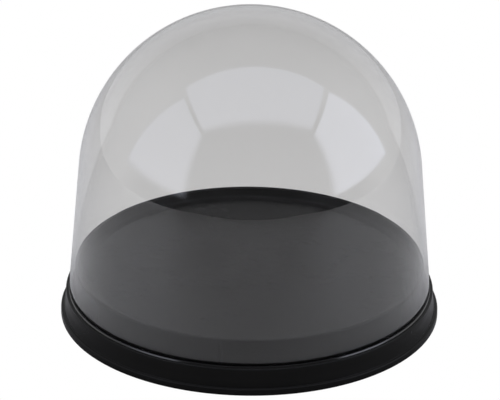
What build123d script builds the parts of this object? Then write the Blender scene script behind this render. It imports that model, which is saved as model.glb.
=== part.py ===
"""Clear domed cover on a round black tray, both formed from plastic sheet.

Frame: +Z up, origin on the floor at the middle of the tray. Millimetres.
Each section is drawn as radius and height, from the outside face of its sheet.
"""

import os
from math import acos, atan2, cos, degrees, hypot, sin

from build123d import *

os.makedirs("parts", exist_ok=True)

# Overall size
foot_radius = 152.4
overall_height = 258.0

# Tray: one formed sheet, from the middle of the deck outwards
tray_sheet = 1.0
sharpest_round = 0.05
deck_height = 36.4
deck_corner_round = 2.6
deck_rim_height = 43.4
deck_rim_radius = 141.1
deck_rim_width = 3.6
deck_rim_lean = 2.2
deck_rim_round = 1.6
plinth_draft = 0.3
channel_floor = 13.0
channel_round = 0.6
ridge_inner_radius = 143.9
ridge_outer_radius = 145.8
ridge_height = 22.0
ridge_round = 0.45
ledge_inner_radius = 146.3
ledge_outer_radius = 148.4
ledge_height = 20.8
ledge_root_round = 0.3
ledge_edge_round = 1.2
skirt_waist_radius = 148.7
skirt_waist_height = 12.5
skirt_waist_round = 30.0
skirt_foot_radius = 150.1
skirt_foot_round = 0.6
lip_height = 5.2
lip_round = 1.5

# Ribs on the plinth wall that centre the cover
rib_count = 4
rib_width = 3.0
rib_proud = 0.35
rib_root = 0.4
rib_first_angle = -99.2
rib_top = 39.5

# Cover: one formed sheet
cover_sheet = 1.1
crown_radius = 138.2
wall_foot_radius = 145.72
wall_foot_height = 24.2
wall_foot_round = 8.0
neck_radius = 143.2
neck_height = 21.2
neck_round = 1.2

# Where the cover's straight wall runs into its crown, which is one arc about the axis
crown_centre = overall_height - crown_radius
foot_drop = crown_centre - wall_foot_height
wall_taper = acos(crown_radius / hypot(wall_foot_radius, foot_drop)) - atan2(foot_drop, wall_foot_radius)


def crown_start(inset):
    """The crown arc's first point, on a face this far inside the cover's outer face."""
    radius = crown_radius - inset
    return (radius * cos(wall_taper), crown_centre + radius * sin(wall_taper))


def inner_points(points, thickness):
    """The corners of the line that runs parallel to these points, a sheet's thickness to their right."""
    lines = []
    for (r0, z0), (r1, z1) in zip(points, points[1:]):
        length = hypot(r1 - r0, z1 - z0)
        along = ((r1 - r0) / length, (z1 - z0) / length)
        lines.append(((r0 + thickness * along[1], z0 - thickness * along[0]), along))
    last_start, last_along = lines[-1]
    span = hypot(points[-1][0] - points[-2][0], points[-1][1] - points[-2][1])
    corners = [lines[0][0]]
    for (start_a, along_a), (start_b, along_b) in zip(lines, lines[1:]):
        cross = along_a[0] * along_b[1] - along_a[1] * along_b[0]
        step = ((start_b[0] - start_a[0]) * along_b[1] - (start_b[1] - start_a[1]) * along_b[0]) / cross
        corners.append((start_a[0] + step * along_a[0], start_a[1] + step * along_a[1]))
    corners.append((last_start[0] + span * last_along[0], last_start[1] + span * last_along[1]))
    return corners


def inner_radii(points, radii, thickness):
    """The rounding of each of those corners: tighter where the line turns towards the sheet's inside."""
    result = []
    for (r0, z0), (r1, z1), (r2, z2), radius in zip(points, points[1:], points[2:], radii):
        turns_right = (r1 - r0) * (z2 - z1) - (z1 - z0) * (r2 - r1) < 0
        result.append(max(radius - thickness, sharpest_round) if turns_right else radius + thickness)
    return result


tray_face = [
    ((0, deck_height), None),
    ((deck_rim_radius - deck_rim_width - deck_rim_lean, deck_height), deck_corner_round),
    ((deck_rim_radius - deck_rim_width, deck_rim_height), deck_rim_round),
    ((deck_rim_radius, deck_rim_height), deck_rim_round),
    ((deck_rim_radius + plinth_draft, channel_floor), channel_round),
    ((ridge_inner_radius, channel_floor), channel_round),
    ((ridge_inner_radius, ridge_height), ridge_round),
    ((ridge_outer_radius, ridge_height), ridge_round),
    ((ledge_inner_radius, ledge_height), ledge_root_round),
    ((ledge_outer_radius, ledge_height), ledge_edge_round),
    ((skirt_waist_radius, skirt_waist_height), skirt_waist_round),
    ((skirt_foot_radius, lip_height), skirt_foot_round),
    ((foot_radius, lip_height), lip_round),
    ((foot_radius, 0), None),
]
tray_points = [point for point, rounding in tray_face]
tray_radii = [rounding for point, rounding in tray_face[1:-1]]
tray_under = inner_points(tray_points, tray_sheet)
tray_under_radii = inner_radii(tray_points, tray_radii, tray_sheet)

with BuildPart() as base_tray:
    with BuildSketch(Plane.XZ):
        with BuildLine():
            upper = FilletPolyline(*tray_points, radius=tray_radii)
            lower = FilletPolyline(*tray_under, radius=tray_under_radii)
            Line(upper @ 0, lower @ 0)
            Line(upper @ 1, lower @ 1)
        make_face()
    revolve(axis=Axis.Z)
    rib_height = rib_top - channel_floor
    rib_depth = rib_root + plinth_draft + rib_proud
    rib_radius = deck_rim_radius - rib_root + rib_depth / 2
    with PolarLocations(rib_radius, rib_count, start_angle=rib_first_angle):
        with Locations((0, 0, channel_floor)):
            Box(
                rib_depth,
                rib_width,
                rib_height,
                align=(Align.CENTER, Align.CENTER, Align.MIN),
            )
base_tray.part.label = "base_tray"
export_step(base_tray.part, "parts/base_tray.step")

# The cover stands on the channel's floor, with its neck inside the ridge. Its face is drawn downwards.
cover_face = [
    (crown_start(0), None),
    ((wall_foot_radius, wall_foot_height), wall_foot_round),
    ((neck_radius, neck_height), neck_round),
    ((neck_radius, channel_floor), None),
]
cover_points = [point for point, rounding in cover_face]
cover_radii = [rounding for point, rounding in cover_face[1:-1]]
cover_inside = inner_points(cover_points, cover_sheet)
cover_inside_radii = inner_radii(cover_points, cover_radii, cover_sheet)
wall_angle = degrees(wall_taper)

with BuildPart() as dome:
    with BuildSketch(Plane.XZ):
        with BuildLine():
            outer_wall = FilletPolyline(*cover_points, radius=cover_radii)
            CenterArc((0, crown_centre), crown_radius, wall_angle, 90 - wall_angle)
            inner_wall = FilletPolyline(*cover_inside, radius=cover_inside_radii)
            CenterArc((0, crown_centre), crown_radius - cover_sheet, wall_angle, 90 - wall_angle)
            Line(outer_wall @ 1, inner_wall @ 1)
            Line((0, overall_height), (0, overall_height - cover_sheet))
        make_face()
    revolve(axis=Axis.Z)
dome.part.label = "dome"
export_step(dome.part, "parts/dome.step")
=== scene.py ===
"""Clear domed cover on a round black tray: the visual model, in metres, +Z up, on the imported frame."""

import math

import bpy
from mathutils import Euler, Matrix, Vector


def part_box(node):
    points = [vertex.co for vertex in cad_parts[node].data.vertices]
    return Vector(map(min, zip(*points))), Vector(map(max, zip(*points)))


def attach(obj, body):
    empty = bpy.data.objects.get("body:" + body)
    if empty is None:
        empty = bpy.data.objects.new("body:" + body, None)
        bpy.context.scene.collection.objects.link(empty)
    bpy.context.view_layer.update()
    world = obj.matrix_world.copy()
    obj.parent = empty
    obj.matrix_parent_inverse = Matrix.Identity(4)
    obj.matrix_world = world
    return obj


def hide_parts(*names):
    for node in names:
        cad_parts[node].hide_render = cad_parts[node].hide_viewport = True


MM = 0.001

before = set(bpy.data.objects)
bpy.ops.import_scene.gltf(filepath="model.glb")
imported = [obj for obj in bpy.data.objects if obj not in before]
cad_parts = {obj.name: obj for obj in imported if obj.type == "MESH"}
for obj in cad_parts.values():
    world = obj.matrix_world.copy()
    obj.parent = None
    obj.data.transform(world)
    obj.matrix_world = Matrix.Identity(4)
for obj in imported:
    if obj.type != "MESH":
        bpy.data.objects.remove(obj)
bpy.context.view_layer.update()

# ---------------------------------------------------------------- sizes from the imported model

tray_low, tray_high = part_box("base_tray")
dome_low, dome_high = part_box("dome")
FOOT_RADIUS = tray_high.x
DECK_RIM_HEIGHT = tray_high.z
OVERALL_HEIGHT = dome_high.z
WALL_FOOT_RADIUS = 145.72 * MM
CHANNEL_FLOOR = 13.0 * MM

TURNS = 288
SHARP_ANGLE = math.radians(40)
SHARPEST_ROUND = 0.05 * MM


# ---------------------------------------------------------------- turned outlines, as (radius, height)


def rounded(points, radii, steps=6):
    """The corners of an outline, each replaced by an arc of its radius."""
    result = [points[0]]
    for before, corner, after, radius in zip(points, points[1:], points[2:], radii):
        corner = Vector(corner)
        back = (Vector(before) - corner).normalized()
        ahead = (Vector(after) - corner).normalized()
        half = back.angle(ahead) / 2
        centre = corner + (back + ahead).normalized() * (radius / math.sin(half))
        first = corner + back * (radius / math.tan(half)) - centre
        last = corner + ahead * (radius / math.tan(half)) - centre
        sweep = first.angle_signed(last)
        for i in range(steps + 1):
            arm = first.copy()
            arm.rotate(Matrix.Rotation(-sweep * i / steps, 2))
            result.append(tuple(centre + arm))
    result.append(points[-1])
    return result


def inset(points, radii, thickness):
    """The corners and roundings of the line a sheet's thickness to the right of these."""
    runs = []
    for start, end in zip(points, points[1:]):
        along = (Vector(end) - Vector(start)).normalized()
        runs.append((Vector(start) + Vector((along.y, -along.x)) * thickness, along))
    corners = [tuple(runs[0][0])]
    inner = []
    for (start, along), (start_after, along_after), radius in zip(runs, runs[1:], radii):
        cross = along.x * along_after.y - along.y * along_after.x
        gap = start_after - start
        corners.append(tuple(start + along * ((gap.x * along_after.y - gap.y * along_after.x) / cross)))
        inner.append(max(radius - thickness, SHARPEST_ROUND) if cross < 0 else radius + thickness)
    corners.append((points[-1][0] - thickness, points[-1][1]))
    return corners, inner


def divided(outline, longest):
    """The same outline with no run longer than this."""
    result = [outline[0]]
    for (r0, z0), (r1, z1) in zip(outline, outline[1:]):
        parts = max(1, math.ceil(math.hypot(r1 - r0, z1 - z0) / longest))
        for i in range(1, parts + 1):
            result.append((r0 + (r1 - r0) * i / parts, z0 + (z1 - z0) * i / parts))
    return result


def parallel(outline, thickness):
    """The outline moved to its left by a sheet's thickness."""
    result = []
    last = len(outline) - 1
    for i, (r, z) in enumerate(outline):
        r0, z0 = outline[max(0, i - 1)]
        r1, z1 = outline[min(last, i + 1)]
        length = math.hypot(r1 - r0, z1 - z0)
        step = thickness / length
        result.append((max(0.0, r - step * (z1 - z0)), z + step * (r1 - r0)))
    return result


def even_angles():
    return [2 * math.pi * i / TURNS for i in range(TURNS)]


def turned(name, outline, angles, bulge=None):
    """A closed mesh made by turning a closed outline about Z. Points on the axis are shared.

    bulge, a function of radius, height and angle, says how far a point is moved outwards.
    """
    turns = len(angles)
    vertices, rings = [], []
    for r, z in outline:
        if r < 1e-6:
            rings.append([len(vertices)] * turns)
            vertices.append((0, 0, z))
            continue
        rings.append(list(range(len(vertices), len(vertices) + turns)))
        for angle in angles:
            reach = r + bulge(r, z, angle) if bulge else r
            vertices.append((reach * math.cos(angle), reach * math.sin(angle), z))
    faces = []
    for ring, after in zip(rings, rings[1:] + rings[:1]):
        for i in range(turns):
            j = (i + 1) % turns
            corners = [ring[i], after[i], after[j], ring[j]]
            face = [v for k, v in enumerate(corners) if v != corners[k - 1]]
            if len(face) > 2:
                faces.append(face)
    mesh = bpy.data.meshes.new(name)
    mesh.from_pydata(vertices, [], faces)
    mesh.validate()
    mesh.shade_smooth()
    mesh.set_sharp_from_angle(angle=SHARP_ANGLE)
    return mesh


def placed(name, mesh, body, replaces, material):
    """A piece of the object: in the scene, riding its body, in place of its CAD node."""
    piece = bpy.data.objects.new(name, mesh)
    bpy.context.scene.collection.objects.link(piece)
    piece.data.materials.append(material)
    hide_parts(replaces)
    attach(piece, body)
    return piece


# ---------------------------------------------------------------- materials


def new_material(name):
    material = bpy.data.materials.new(name)
    material.use_nodes = True
    nodes = material.node_tree.nodes
    return material, nodes, material.node_tree.links, nodes["Principled BSDF"]


def noise(nodes, links, scale, detail=3.0, roughness=0.55):
    """Noise in the object's own metres."""
    place = nodes.new("ShaderNodeTexCoord")
    texture = nodes.new("ShaderNodeTexNoise")
    texture.inputs["Scale"].default_value = scale
    texture.inputs["Detail"].default_value = detail
    texture.inputs["Roughness"].default_value = roughness
    links.new(place.outputs["Object"], texture.inputs["Vector"])
    return texture.outputs["Fac"]


def spread(nodes, links, value, low, high):
    """value, from 0 to 1, spread from low to high."""
    node = nodes.new("ShaderNodeMapRange")
    node.inputs["To Min"].default_value = low
    node.inputs["To Max"].default_value = high
    links.new(value, node.inputs["Value"])
    return node.outputs["Result"]


# Heights between which the outer edge of the ridge is glossier than the rest
POLISH_STARTS = (20.85 * MM, 21.1 * MM)
POLISH_ENDS = (21.98 * MM, 21.75 * MM)


def black_sheet():
    """Black formed sheet: semi-gloss, with a faint grain, a slight orange peel and uneven gloss."""
    material, nodes, links, shader = new_material("black_sheet")
    grain = noise(nodes, links, 2600.0, 2.0)
    peel = noise(nodes, links, 190.0, 2.0)
    patches = noise(nodes, links, 22.0, 4.0)
    tone = nodes.new("ShaderNodeMix")
    tone.data_type = "RGBA"
    tone.inputs["A"].default_value = (0.0116, 0.0114, 0.0110, 1)
    tone.inputs["B"].default_value = (0.0156, 0.0154, 0.0148, 1)
    links.new(patches, tone.inputs["Factor"])
    links.new(tone.outputs["Result"], shader.inputs["Base Color"])
    links.new(spread(nodes, links, patches, 0.16, 0.24), shader.inputs["Roughness"])
    shader.inputs["IOR"].default_value = 1.5
    shader.inputs["Specular IOR Level"].default_value = 0.07
    fine = nodes.new("ShaderNodeBump")
    fine.inputs["Strength"].default_value = 0.15
    fine.inputs["Distance"].default_value = 0.00002
    links.new(grain, fine.inputs["Height"])
    broad = nodes.new("ShaderNodeBump")
    broad.inputs["Strength"].default_value = 0.35
    broad.inputs["Distance"].default_value = 0.00008
    links.new(peel, broad.inputs["Height"])
    links.new(fine.outputs["Normal"], broad.inputs["Normal"])
    links.new(broad.outputs["Normal"], shader.inputs["Normal"])
    height = split(nodes, links, "Object").outputs["Z"]
    polish = nodes.new("ShaderNodeMath")
    polish.operation = "MULTIPLY"
    links.new(ramp(nodes, links, height, *POLISH_STARTS), polish.inputs[0])
    links.new(ramp(nodes, links, height, *POLISH_ENDS), polish.inputs[1])
    links.new(polish.outputs["Value"], shader.inputs["Coat Weight"])
    shader.inputs["Coat Roughness"].default_value = 0.04
    shader.inputs["Coat IOR"].default_value = 1.6
    return material


def clear_sheet():
    """Clear formed sheet. Light from the lamps passes it unbent, so that they light what is inside."""
    material, nodes, links, shader = new_material("clear_sheet")
    shader.inputs["Base Color"].default_value = (0.98, 0.98, 0.98, 1)
    shader.inputs["Transmission Weight"].default_value = 1.0
    shader.inputs["IOR"].default_value = 1.49
    shader.inputs["Roughness"].default_value = 0.0
    path = nodes.new("ShaderNodeLightPath")
    through = nodes.new("ShaderNodeBsdfTransparent")
    through.inputs["Color"].default_value = (0.93, 0.93, 0.93, 1)
    mix = nodes.new("ShaderNodeMixShader")
    links.new(path.outputs["Is Shadow Ray"], mix.inputs["Fac"])
    links.new(shader.outputs["BSDF"], mix.inputs[1])
    links.new(through.outputs["BSDF"], mix.inputs[2])
    links.new(mix.outputs["Shader"], nodes["Material Output"].inputs["Surface"])
    return material


# ---------------------------------------------------------------- tray

TRAY_SHEET = 1.0 * MM
DECK_HEIGHT = 36.4 * MM
DECK_RIM_RADIUS = 141.1 * MM
DECK_RIM_WIDTH = 3.6 * MM
DECK_RIM_LEAN = 2.2 * MM
DECK_CORNER_ROUND = 2.6 * MM
DECK_RIM_ROUND = 1.6 * MM
PLINTH_DRAFT = 0.3 * MM
CHANNEL_ROUND = 0.6 * MM
RIDGE_INNER_RADIUS = 143.9 * MM
RIDGE_OUTER_RADIUS = 145.8 * MM
RIDGE_HEIGHT = 22.0 * MM
RIDGE_ROUND = 0.45 * MM
LEDGE_HEIGHT = 20.8 * MM
LEDGE_INNER_RADIUS = 146.3 * MM
LEDGE_OUTER_RADIUS = 148.4 * MM
LEDGE_ROOT_ROUND = 0.3 * MM
LEDGE_EDGE_ROUND = 1.2 * MM
SKIRT_WAIST = (148.7 * MM, 12.5 * MM)
SKIRT_WAIST_ROUND = 30.0 * MM
SKIRT_FOOT_RADIUS = 150.1 * MM
SKIRT_FOOT_ROUND = 0.6 * MM
LIP_HEIGHT = 5.2 * MM
LIP_ROUND = 1.5 * MM


RIB_COUNT = 4
RIB_FIRST_ANGLE = math.radians(-99.2)
RIB_WIDTH = 3.0 * MM
RIB_PROUD = 0.35 * MM
RIB_TOP = 39.5 * MM
RIB_EDGE = 0.3 * MM


def rib_offset(angle):
    """How far round the plinth a point is from the middle of the nearest rib."""
    spacing = 2 * math.pi / RIB_COUNT
    turn = (angle - RIB_FIRST_ANGLE + spacing / 2) % spacing - spacing / 2
    return abs(turn) * (DECK_RIM_RADIUS + PLINTH_DRAFT)


def rib(r, z, angle):
    """The ribs that centre the cover on the plinth wall, on the outer face only."""
    on_wall = DECK_RIM_RADIUS - 0.05 * MM < r < DECK_RIM_RADIUS + PLINTH_DRAFT + 0.05 * MM
    if not on_wall or z > RIB_TOP or z < CHANNEL_FLOOR + CHANNEL_ROUND:
        return 0.0
    across = min(1.0, max(0.0, (RIB_WIDTH / 2 - rib_offset(angle)) / RIB_EDGE))
    top = min(1.0, (RIB_TOP - z) / RIB_EDGE)
    return RIB_PROUD * across * top


def tray_angles():
    """Even turns, with more at the edges of each rib."""
    angles = [a for a in even_angles() if rib_offset(a) > RIB_WIDTH / 2 + 2 * RIB_EDGE]
    for k in range(RIB_COUNT):
        middle = RIB_FIRST_ANGLE + 2 * math.pi * k / RIB_COUNT
        for side in (RIB_WIDTH / 2 + RIB_EDGE, RIB_WIDTH / 2, RIB_WIDTH / 2 - RIB_EDGE):
            turn = side / (DECK_RIM_RADIUS + PLINTH_DRAFT)
            angles += [(middle - turn) % (2 * math.pi), (middle + turn) % (2 * math.pi)]
    return sorted(angles)


def tray_outline():
    points = [
        (0, DECK_HEIGHT),
        (DECK_RIM_RADIUS - DECK_RIM_WIDTH - DECK_RIM_LEAN, DECK_HEIGHT),
        (DECK_RIM_RADIUS - DECK_RIM_WIDTH, DECK_RIM_HEIGHT),
        (DECK_RIM_RADIUS, DECK_RIM_HEIGHT),
        (DECK_RIM_RADIUS + PLINTH_DRAFT, CHANNEL_FLOOR),
        (RIDGE_INNER_RADIUS, CHANNEL_FLOOR),
        (RIDGE_INNER_RADIUS, RIDGE_HEIGHT),
        (RIDGE_OUTER_RADIUS, RIDGE_HEIGHT),
        (LEDGE_INNER_RADIUS, LEDGE_HEIGHT),
        (LEDGE_OUTER_RADIUS, LEDGE_HEIGHT),
        SKIRT_WAIST,
        (SKIRT_FOOT_RADIUS, LIP_HEIGHT),
        (FOOT_RADIUS, LIP_HEIGHT),
        (FOOT_RADIUS, 0),
    ]
    radii = [
        DECK_CORNER_ROUND,
        DECK_RIM_ROUND,
        DECK_RIM_ROUND,
        CHANNEL_ROUND,
        CHANNEL_ROUND,
        RIDGE_ROUND,
        RIDGE_ROUND,
        LEDGE_ROOT_ROUND,
        LEDGE_EDGE_ROUND,
        SKIRT_WAIST_ROUND,
        SKIRT_FOOT_ROUND,
        LIP_ROUND,
    ]
    upper = divided(rounded(points, radii), 6 * MM)
    # The ribs' tops need two points of their own on the plinth wall
    below_top = next(
        i
        for i in range(1, len(upper))
        if upper[i][1] < RIB_TOP <= upper[i - 1][1] and upper[i][0] > DECK_RIM_RADIUS - MM
    )
    r = DECK_RIM_RADIUS + PLINTH_DRAFT * (DECK_RIM_HEIGHT - RIB_TOP) / (DECK_RIM_HEIGHT - CHANNEL_FLOOR)
    upper[below_top:below_top] = [(r, RIB_TOP), (r, RIB_TOP - RIB_EDGE)]
    lower = divided(rounded(*inset(points, radii, TRAY_SHEET)), 6 * MM)
    return upper + lower[::-1]


# ---------------------------------------------------------------- cover

COVER_SHEET = 1.1 * MM
CROWN_RADIUS = 138.2 * MM
WALL_FOOT_HEIGHT = 24.2 * MM
WALL_FOOT_ROUND = 8.0 * MM
NECK_RADIUS = 143.2 * MM
NECK_HEIGHT = 21.2 * MM
NECK_ROUND = 1.2 * MM
CROWN_STEPS = 90


def cover_outline():
    centre = OVERALL_HEIGHT - CROWN_RADIUS
    drop = centre - WALL_FOOT_HEIGHT
    reach = math.hypot(WALL_FOOT_RADIUS, drop)
    taper = math.acos(CROWN_RADIUS / reach) - math.atan2(drop, WALL_FOOT_RADIUS)
    crown = []
    for i in range(CROWN_STEPS + 1):
        angle = taper + (math.pi / 2 - taper) * i / CROWN_STEPS
        crown.append((CROWN_RADIUS * math.cos(angle), centre + CROWN_RADIUS * math.sin(angle)))
    crown[-1] = (0.0, OVERALL_HEIGHT)
    foot = [
        (NECK_RADIUS, CHANNEL_FLOOR),
        (NECK_RADIUS, NECK_HEIGHT),
        (WALL_FOOT_RADIUS, WALL_FOOT_HEIGHT),
        crown[0],
    ]
    wall = divided(rounded(foot, [NECK_ROUND, WALL_FOOT_ROUND]), 3 * MM)
    outer = wall + crown[1:]
    inner = parallel(outer, COVER_SHEET)
    inner[-1] = (0.0, OVERALL_HEIGHT - COVER_SHEET)
    return outer[::-1] + inner


# ---------------------------------------------------------------- stage


def soft_panel(name, corners, radiance, edges):
    """A lit panel seen only in reflections. edges: the share of it that each edge takes to fade."""
    mesh = bpy.data.meshes.new(name)
    mesh.from_pydata(corners, [], [(0, 1, 2, 3)])
    layer = mesh.uv_layers.new(name="panel")
    for loop, place in zip(layer.data, ((0, 0), (1, 0), (1, 1), (0, 1))):
        loop.uv = place
    sheet = bpy.data.objects.new(name, mesh)
    bpy.context.scene.collection.objects.link(sheet)
    material = bpy.data.materials.new(name)
    material.use_nodes = True
    material.cycles.emission_sampling = "NONE"
    nodes, links = material.node_tree.nodes, material.node_tree.links
    nodes.remove(nodes["Principled BSDF"])
    place = split(nodes, links, "UV")
    low_x, high_x, low_y, high_y = edges
    fades = [
        ramp(nodes, links, place.outputs["X"], 0.0, low_x),
        ramp(nodes, links, place.outputs["X"], 1.0, 1.0 - high_x),
        ramp(nodes, links, place.outputs["Y"], 0.0, low_y),
        ramp(nodes, links, place.outputs["Y"], 1.0, 1.0 - high_y),
    ]
    level = fades[0]
    for fade in fades[1:]:
        product = nodes.new("ShaderNodeMath")
        product.operation = "MULTIPLY"
        links.new(level, product.inputs[0])
        links.new(fade, product.inputs[1])
        level = product.outputs["Value"]
    glow = nodes.new("ShaderNodeEmission")
    glow.inputs["Strength"].default_value = radiance
    glow.inputs["Color"].default_value = PANEL_TINT
    clear = nodes.new("ShaderNodeBsdfTransparent")
    mix = nodes.new("ShaderNodeMixShader")
    links.new(level, mix.inputs["Fac"])
    links.new(clear.outputs["BSDF"], mix.inputs[1])
    links.new(glow.outputs["Emission"], mix.inputs[2])
    links.new(mix.outputs["Shader"], nodes["Material Output"].inputs["Surface"])
    mesh.materials.append(material)
    sheet.visible_camera = False
    sheet.visible_diffuse = False
    sheet.visible_shadow = False


def lamp(name, corners, radiance):
    """A lamp about as large as a panel, for what the panel lights."""
    across = (corners[1] - corners[0] + corners[2] - corners[3]) / 2
    up = (corners[3] - corners[0] + corners[2] - corners[1]) / 2
    data = bpy.data.lights.new(name, "AREA")
    data.shape = "RECTANGLE"
    data.size = across.length
    data.size_y = up.length
    data.color = PANEL_TINT[:3]
    data.energy = radiance * math.pi * data.size * data.size_y
    obj = bpy.data.objects.new(name, data)
    obj.location = sum(corners, Vector()) / 4
    facing = across.cross(up).normalized()
    sideways = across.normalized()
    axes = Matrix((sideways, facing.cross(across).normalized(), facing))
    obj.rotation_euler = axes.transposed().to_euler()
    bpy.context.scene.collection.objects.link(obj)
    obj.visible_camera = False
    obj.visible_glossy = False
    obj.visible_transmission = False


CENTRE_HEIGHT = 0.12
ROOM = 1.5
TURN = math.radians(4)
LAMP_SHARE = 1.05
PANEL_TINT = (0.93, 0.96, 1.10, 1)
FLOOR_FRONT = -2.4
FLOOR_REAR = 1.4
FLOOR_SIDE = 1.6
FLOOR_SIDE_SHARE = 0.8
# Painted shade on the floor, seen in reflections and by what stands on it: darker toward the open front, and
# a painted contact shadow near the foot.
FLOOR_FRONT_SHADE_FADE = (-0.35, 0.10)
FLOOR_FOOT_SHADOW_FADE = (0.15, 0.23)
FLOOR_FRONT_SHADE_GREY = (0.50, 0.49, 0.47)
FLOOR_BACK_GREY = (0.86, 0.85, 0.82)
FLOOR_FOOT_SHADOW_GREY = (0.56, 0.55, 0.54)
FLOOR_THROUGH = (0.86, 0.84, 0.78)
ROOM_FRONT = (0.05, 0.05, 0.05)
ROOM_BACK = (0.55, 0.55, 0.56)
ROOM_SIDE = (0.80, 0.80, 0.81)
ROOM_SIDE_FADE = (0.3, 0.8)
ROOM_REAR_FADE = (-0.35, 0.2)
ROOM_THROUGH = (0.58, 0.575, 0.565)


def light_room():
    """Three lit panels, overhead, left and right, with the front left open. Corners are in ROOM's measure."""
    top = [(-0.735, -0.67, 1), (0.865, -0.67, 1), (0.865, 0.21, 1), (-0.735, 0.21, 1)]
    left = [(-0.75, -0.80, 0.06), (-0.75, 0.07, 0.06), (-0.75, 0.07, 0.98), (-0.75, -0.72, 0.98)]
    right = [(0.88, 0.18, 0.05), (0.88, -0.80, 0.05), (0.88, -0.72, 0.96), (0.88, 0.18, 0.96)]
    panels = (
        ("top", top, 1.5, (0.03, 0.03, 0.22, 0.05)),
        ("left", left, 1.5, (0.22, 0.05, 0.10, 0.03)),
        ("right", right, 2.1, (0.05, 0.22, 0.05, 0.03)),
    )
    turn = Matrix.Rotation(TURN, 3, "Z") * ROOM
    for name, corners, radiance, edges in panels:
        placed_corners = [turn @ Vector(corner) + Vector((0, 0, CENTRE_HEIGHT)) for corner in corners]
        soft_panel("panel_" + name, placed_corners, radiance, edges)
        lamp("lamp_" + name, placed_corners, radiance * LAMP_SHARE)


def ray_kinds(nodes, links):
    """1 where a ray comes straight from the camera, and 1 where it has only gone through clear sheet."""
    path = nodes.new("ShaderNodeLightPath")
    direct = nodes.new("ShaderNodeMath")
    direct.operation = "LESS_THAN"
    direct.inputs[1].default_value = 0.5
    links.new(path.outputs["Glossy Depth"], direct.inputs[0])
    through = nodes.new("ShaderNodeMath")
    through.operation = "MULTIPLY"
    links.new(direct.outputs["Value"], through.inputs[0])
    links.new(path.outputs["Is Transmission Ray"], through.inputs[1])
    return path.outputs["Is Camera Ray"], through.outputs["Value"]


def mixed(nodes, links, factor, first, second):
    """A colour that goes from first to second; each is a colour or an output."""
    node = nodes.new("ShaderNodeMix")
    node.data_type = "RGBA"
    links.new(factor, node.inputs["Factor"])
    for name, value in (("A", first), ("B", second)):
        if isinstance(value, tuple):
            node.inputs[name].default_value = (*value, 1)
        else:
            links.new(value, node.inputs[name])
    return node.outputs["Result"]


def ramp(nodes, links, value, start, end):
    """0 where value is below start, 1 where it is above end, and smooth between."""
    node = nodes.new("ShaderNodeMapRange")
    node.interpolation_type = "SMOOTHSTEP"
    node.inputs["From Min"].default_value = start
    node.inputs["From Max"].default_value = end
    links.new(value, node.inputs["Value"])
    return node.outputs["Result"]


def split(nodes, links, kind):
    place = nodes.new("ShaderNodeTexCoord")
    node = nodes.new("ShaderNodeSeparateXYZ")
    links.new(place.outputs[kind], node.inputs["Vector"])
    return node


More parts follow.
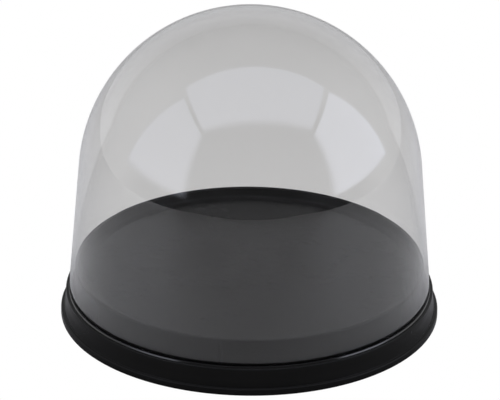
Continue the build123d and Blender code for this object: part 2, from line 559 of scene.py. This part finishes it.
def floor():
    """A pale floor: plain white where it is looked at.

    To what is on it, it is a lit grey sheet with painted shade: darker toward the open front, and a painted
    contact shadow near the object's foot.
    """
    mesh = bpy.data.meshes.new("floor")
    corners = [
        (-FLOOR_SIDE, FLOOR_FRONT, 0),
        (FLOOR_SIDE, FLOOR_FRONT, 0),
        (FLOOR_SIDE, FLOOR_REAR, 0),
        (-FLOOR_SIDE, FLOOR_REAR, 0),
    ]
    mesh.from_pydata(corners, [], [(0, 1, 2, 3)])
    plane = bpy.data.objects.new("floor", mesh)
    bpy.context.scene.collection.objects.link(plane)
    material = bpy.data.materials.new("floor_white")
    material.use_nodes = True
    nodes, links = material.node_tree.nodes, material.node_tree.links
    nodes.remove(nodes["Principled BSDF"])
    seen, through = ray_kinds(nodes, links)
    place = split(nodes, links, "Object")
    aside = nodes.new("ShaderNodeMath")
    aside.operation = "ABSOLUTE"
    links.new(place.outputs["X"], aside.inputs[0])
    reach = nodes.new("ShaderNodeMath")
    reach.operation = "MULTIPLY_ADD"
    reach.inputs[1].default_value = FLOOR_SIDE_SHARE
    links.new(aside.outputs["Value"], reach.inputs[0])
    links.new(place.outputs["Y"], reach.inputs[2])
    # Painted shade: the floor's grey darkens toward the open front, where less light falls.
    clear_of_front_shade = ramp(nodes, links, reach.outputs["Value"], *FLOOR_FRONT_SHADE_FADE)
    front_shaded_grey = mixed(nodes, links, clear_of_front_shade, FLOOR_FRONT_SHADE_GREY, FLOOR_BACK_GREY)
    # Painted shadow: the floor's grey darkens near the object's foot, standing in for its contact shadow.
    position = nodes.new("ShaderNodeTexCoord")
    from_middle = nodes.new("ShaderNodeVectorMath")
    from_middle.operation = "LENGTH"
    links.new(position.outputs["Object"], from_middle.inputs[0])
    clear_of_foot_shadow = ramp(nodes, links, from_middle.outputs["Value"], *FLOOR_FOOT_SHADOW_FADE)
    grey = mixed(nodes, links, clear_of_foot_shadow, FLOOR_FOOT_SHADOW_GREY, front_shaded_grey)
    sheet = nodes.new("ShaderNodeBsdfDiffuse")
    links.new(mixed(nodes, links, through, grey, FLOOR_THROUGH), sheet.inputs["Color"])
    white = nodes.new("ShaderNodeEmission")
    white.inputs["Strength"].default_value = 1.0
    mix = nodes.new("ShaderNodeMixShader")
    links.new(seen, mix.inputs["Fac"])
    links.new(sheet.outputs["BSDF"], mix.inputs[1])
    links.new(white.outputs["Emission"], mix.inputs[2])
    links.new(mix.outputs["Shader"], nodes["Material Output"].inputs["Surface"])
    mesh.materials.append(material)


def surroundings():
    """White where it is looked at; to everything else a pale room, brighter at the sides, dark in front."""
    world = bpy.data.worlds.new("room")
    bpy.context.scene.world = world
    world.use_nodes = True
    nodes, links = world.node_tree.nodes, world.node_tree.links
    seen, through = ray_kinds(nodes, links)
    toward = split(nodes, links, "Generated")
    aside = nodes.new("ShaderNodeMath")
    aside.operation = "ABSOLUTE"
    links.new(toward.outputs["X"], aside.inputs[0])
    to_side = ramp(nodes, links, aside.outputs["Value"], *ROOM_SIDE_FADE)
    rear = mixed(nodes, links, to_side, ROOM_BACK, ROOM_SIDE)
    to_rear = ramp(nodes, links, toward.outputs["Y"], *ROOM_REAR_FADE)
    room = mixed(nodes, links, to_rear, ROOM_FRONT, rear)
    room = mixed(nodes, links, through, room, ROOM_THROUGH)
    links.new(mixed(nodes, links, seen, room, (1.0, 1.0, 1.0)), nodes["Background"].inputs["Color"])


PITCH = 0.4495
DISTANCE = 5.9
LENS = 528
LEAN = 0.00844
TARGET = Vector((-0.00014, 0, 0.0986))


def camera():
    """A long lens from 25.75 degrees above, leaning very slightly."""
    data = bpy.data.cameras.new("camera")
    data.lens = LENS
    data.clip_end = 50
    cam = bpy.data.objects.new("camera", data)
    bpy.context.scene.collection.objects.link(cam)
    cam.location = TARGET + DISTANCE * Vector((0, -math.cos(PITCH), math.sin(PITCH)))
    lean = Matrix.Rotation(LEAN, 3, "Z")
    level = Euler((math.pi / 2 - PITCH, 0, 0)).to_matrix()
    cam.rotation_euler = (level @ lean).to_euler()
    bpy.context.scene.camera = cam


bpy.context.scene.view_settings.view_transform = "Standard"
camera()
floor()
light_room()
surroundings()

black = black_sheet()
clear = clear_sheet()
tray_mesh = turned("tray_shell", tray_outline(), tray_angles(), rib)
cover_mesh = turned("cover_shell", cover_outline(), even_angles())
placed("tray_shell", tray_mesh, "tray", "base_tray", black)
placed("cover_shell", cover_mesh, "cover", "dome", clear)
